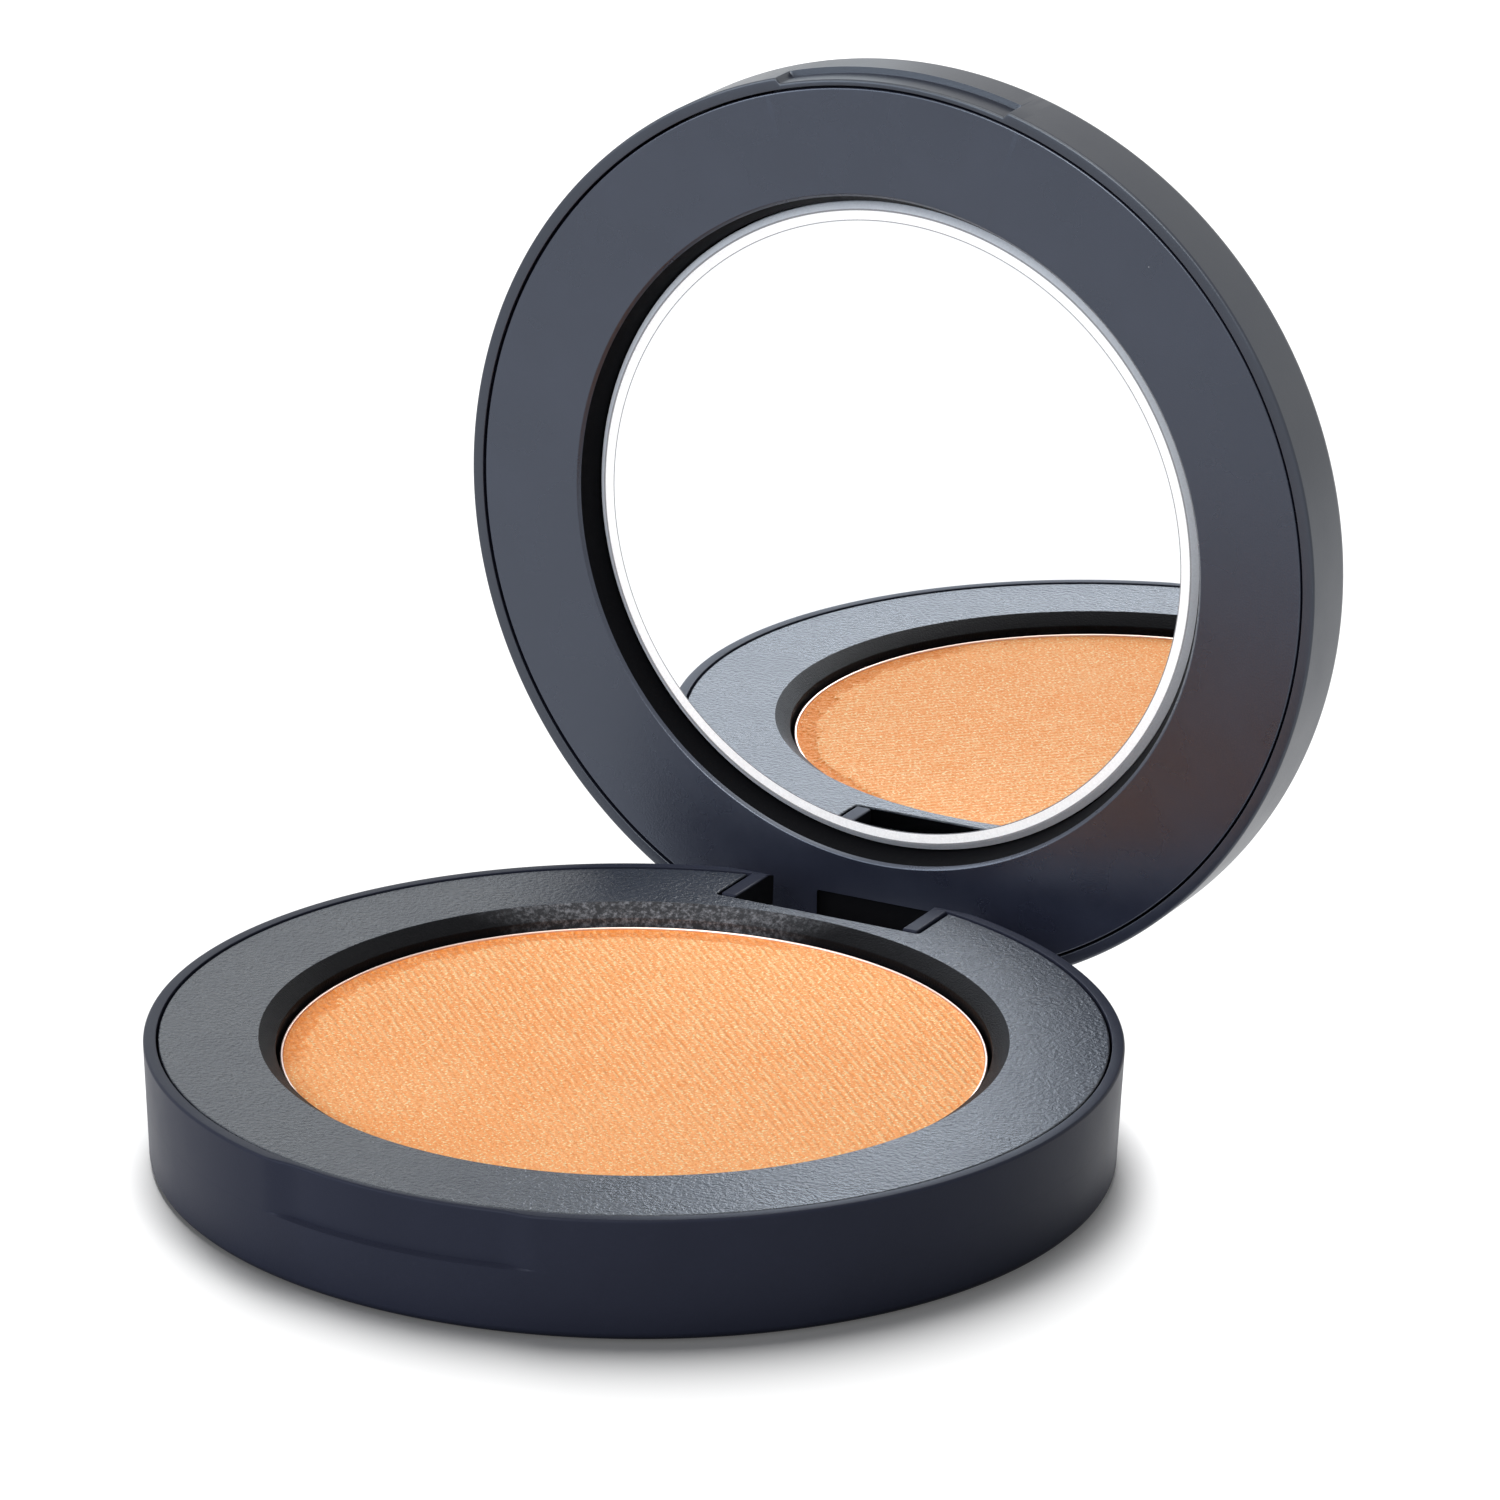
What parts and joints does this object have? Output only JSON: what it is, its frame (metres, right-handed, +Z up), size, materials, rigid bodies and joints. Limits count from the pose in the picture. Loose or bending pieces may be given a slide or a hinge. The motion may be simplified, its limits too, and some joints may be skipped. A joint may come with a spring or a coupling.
{
  "type": "powder compact",
  "caption": "Round pocket powder compact: a shallow base with a pressed powder pan and a hinged lid with a recessed round mirror, standing open on its flat underside.",
  "frame": {"origin": "centre of the base's round underside, on the table", "axes": "+Z up out of the underside; the hinge is at +Y, with its pin parallel to X; the thumb recess is at -Y"},
  "size_m": [0.061, 0.0683, 0.0616],
  "materials": {
    "shell": "satin",
    "insert": "satin",
    "pan_metal": "satin",
    "powder": "matte",
    "mirror": "polished",
    "steel": "satin",
    "magnet": "gloss",
    "adhesive": "matte",
    "label": "matte"
  },
  "bodies": {
    "base": {"base_shell": "shell", "base_insert": "insert", "pan_adhesive": "adhesive", "powder_pan": "pan_metal", "pressed_powder": "powder", "hinge_pin": "steel", "base_magnet": "magnet", "underside_label": "label"},
    "lid": {"lid_shell": "shell", "lid_insert": "insert", "mirror": "mirror", "mirror_adhesive": "adhesive", "lid_magnet": "magnet"}
  },
  "joints": [
    {"name": "lid_hinge", "type": "hinge", "parent": "base", "child": "lid", "pos_m": [0, 0.0279, 0.0032], "axis": [1, 0, 0], "range_deg": [0, 90]}
  ]
}
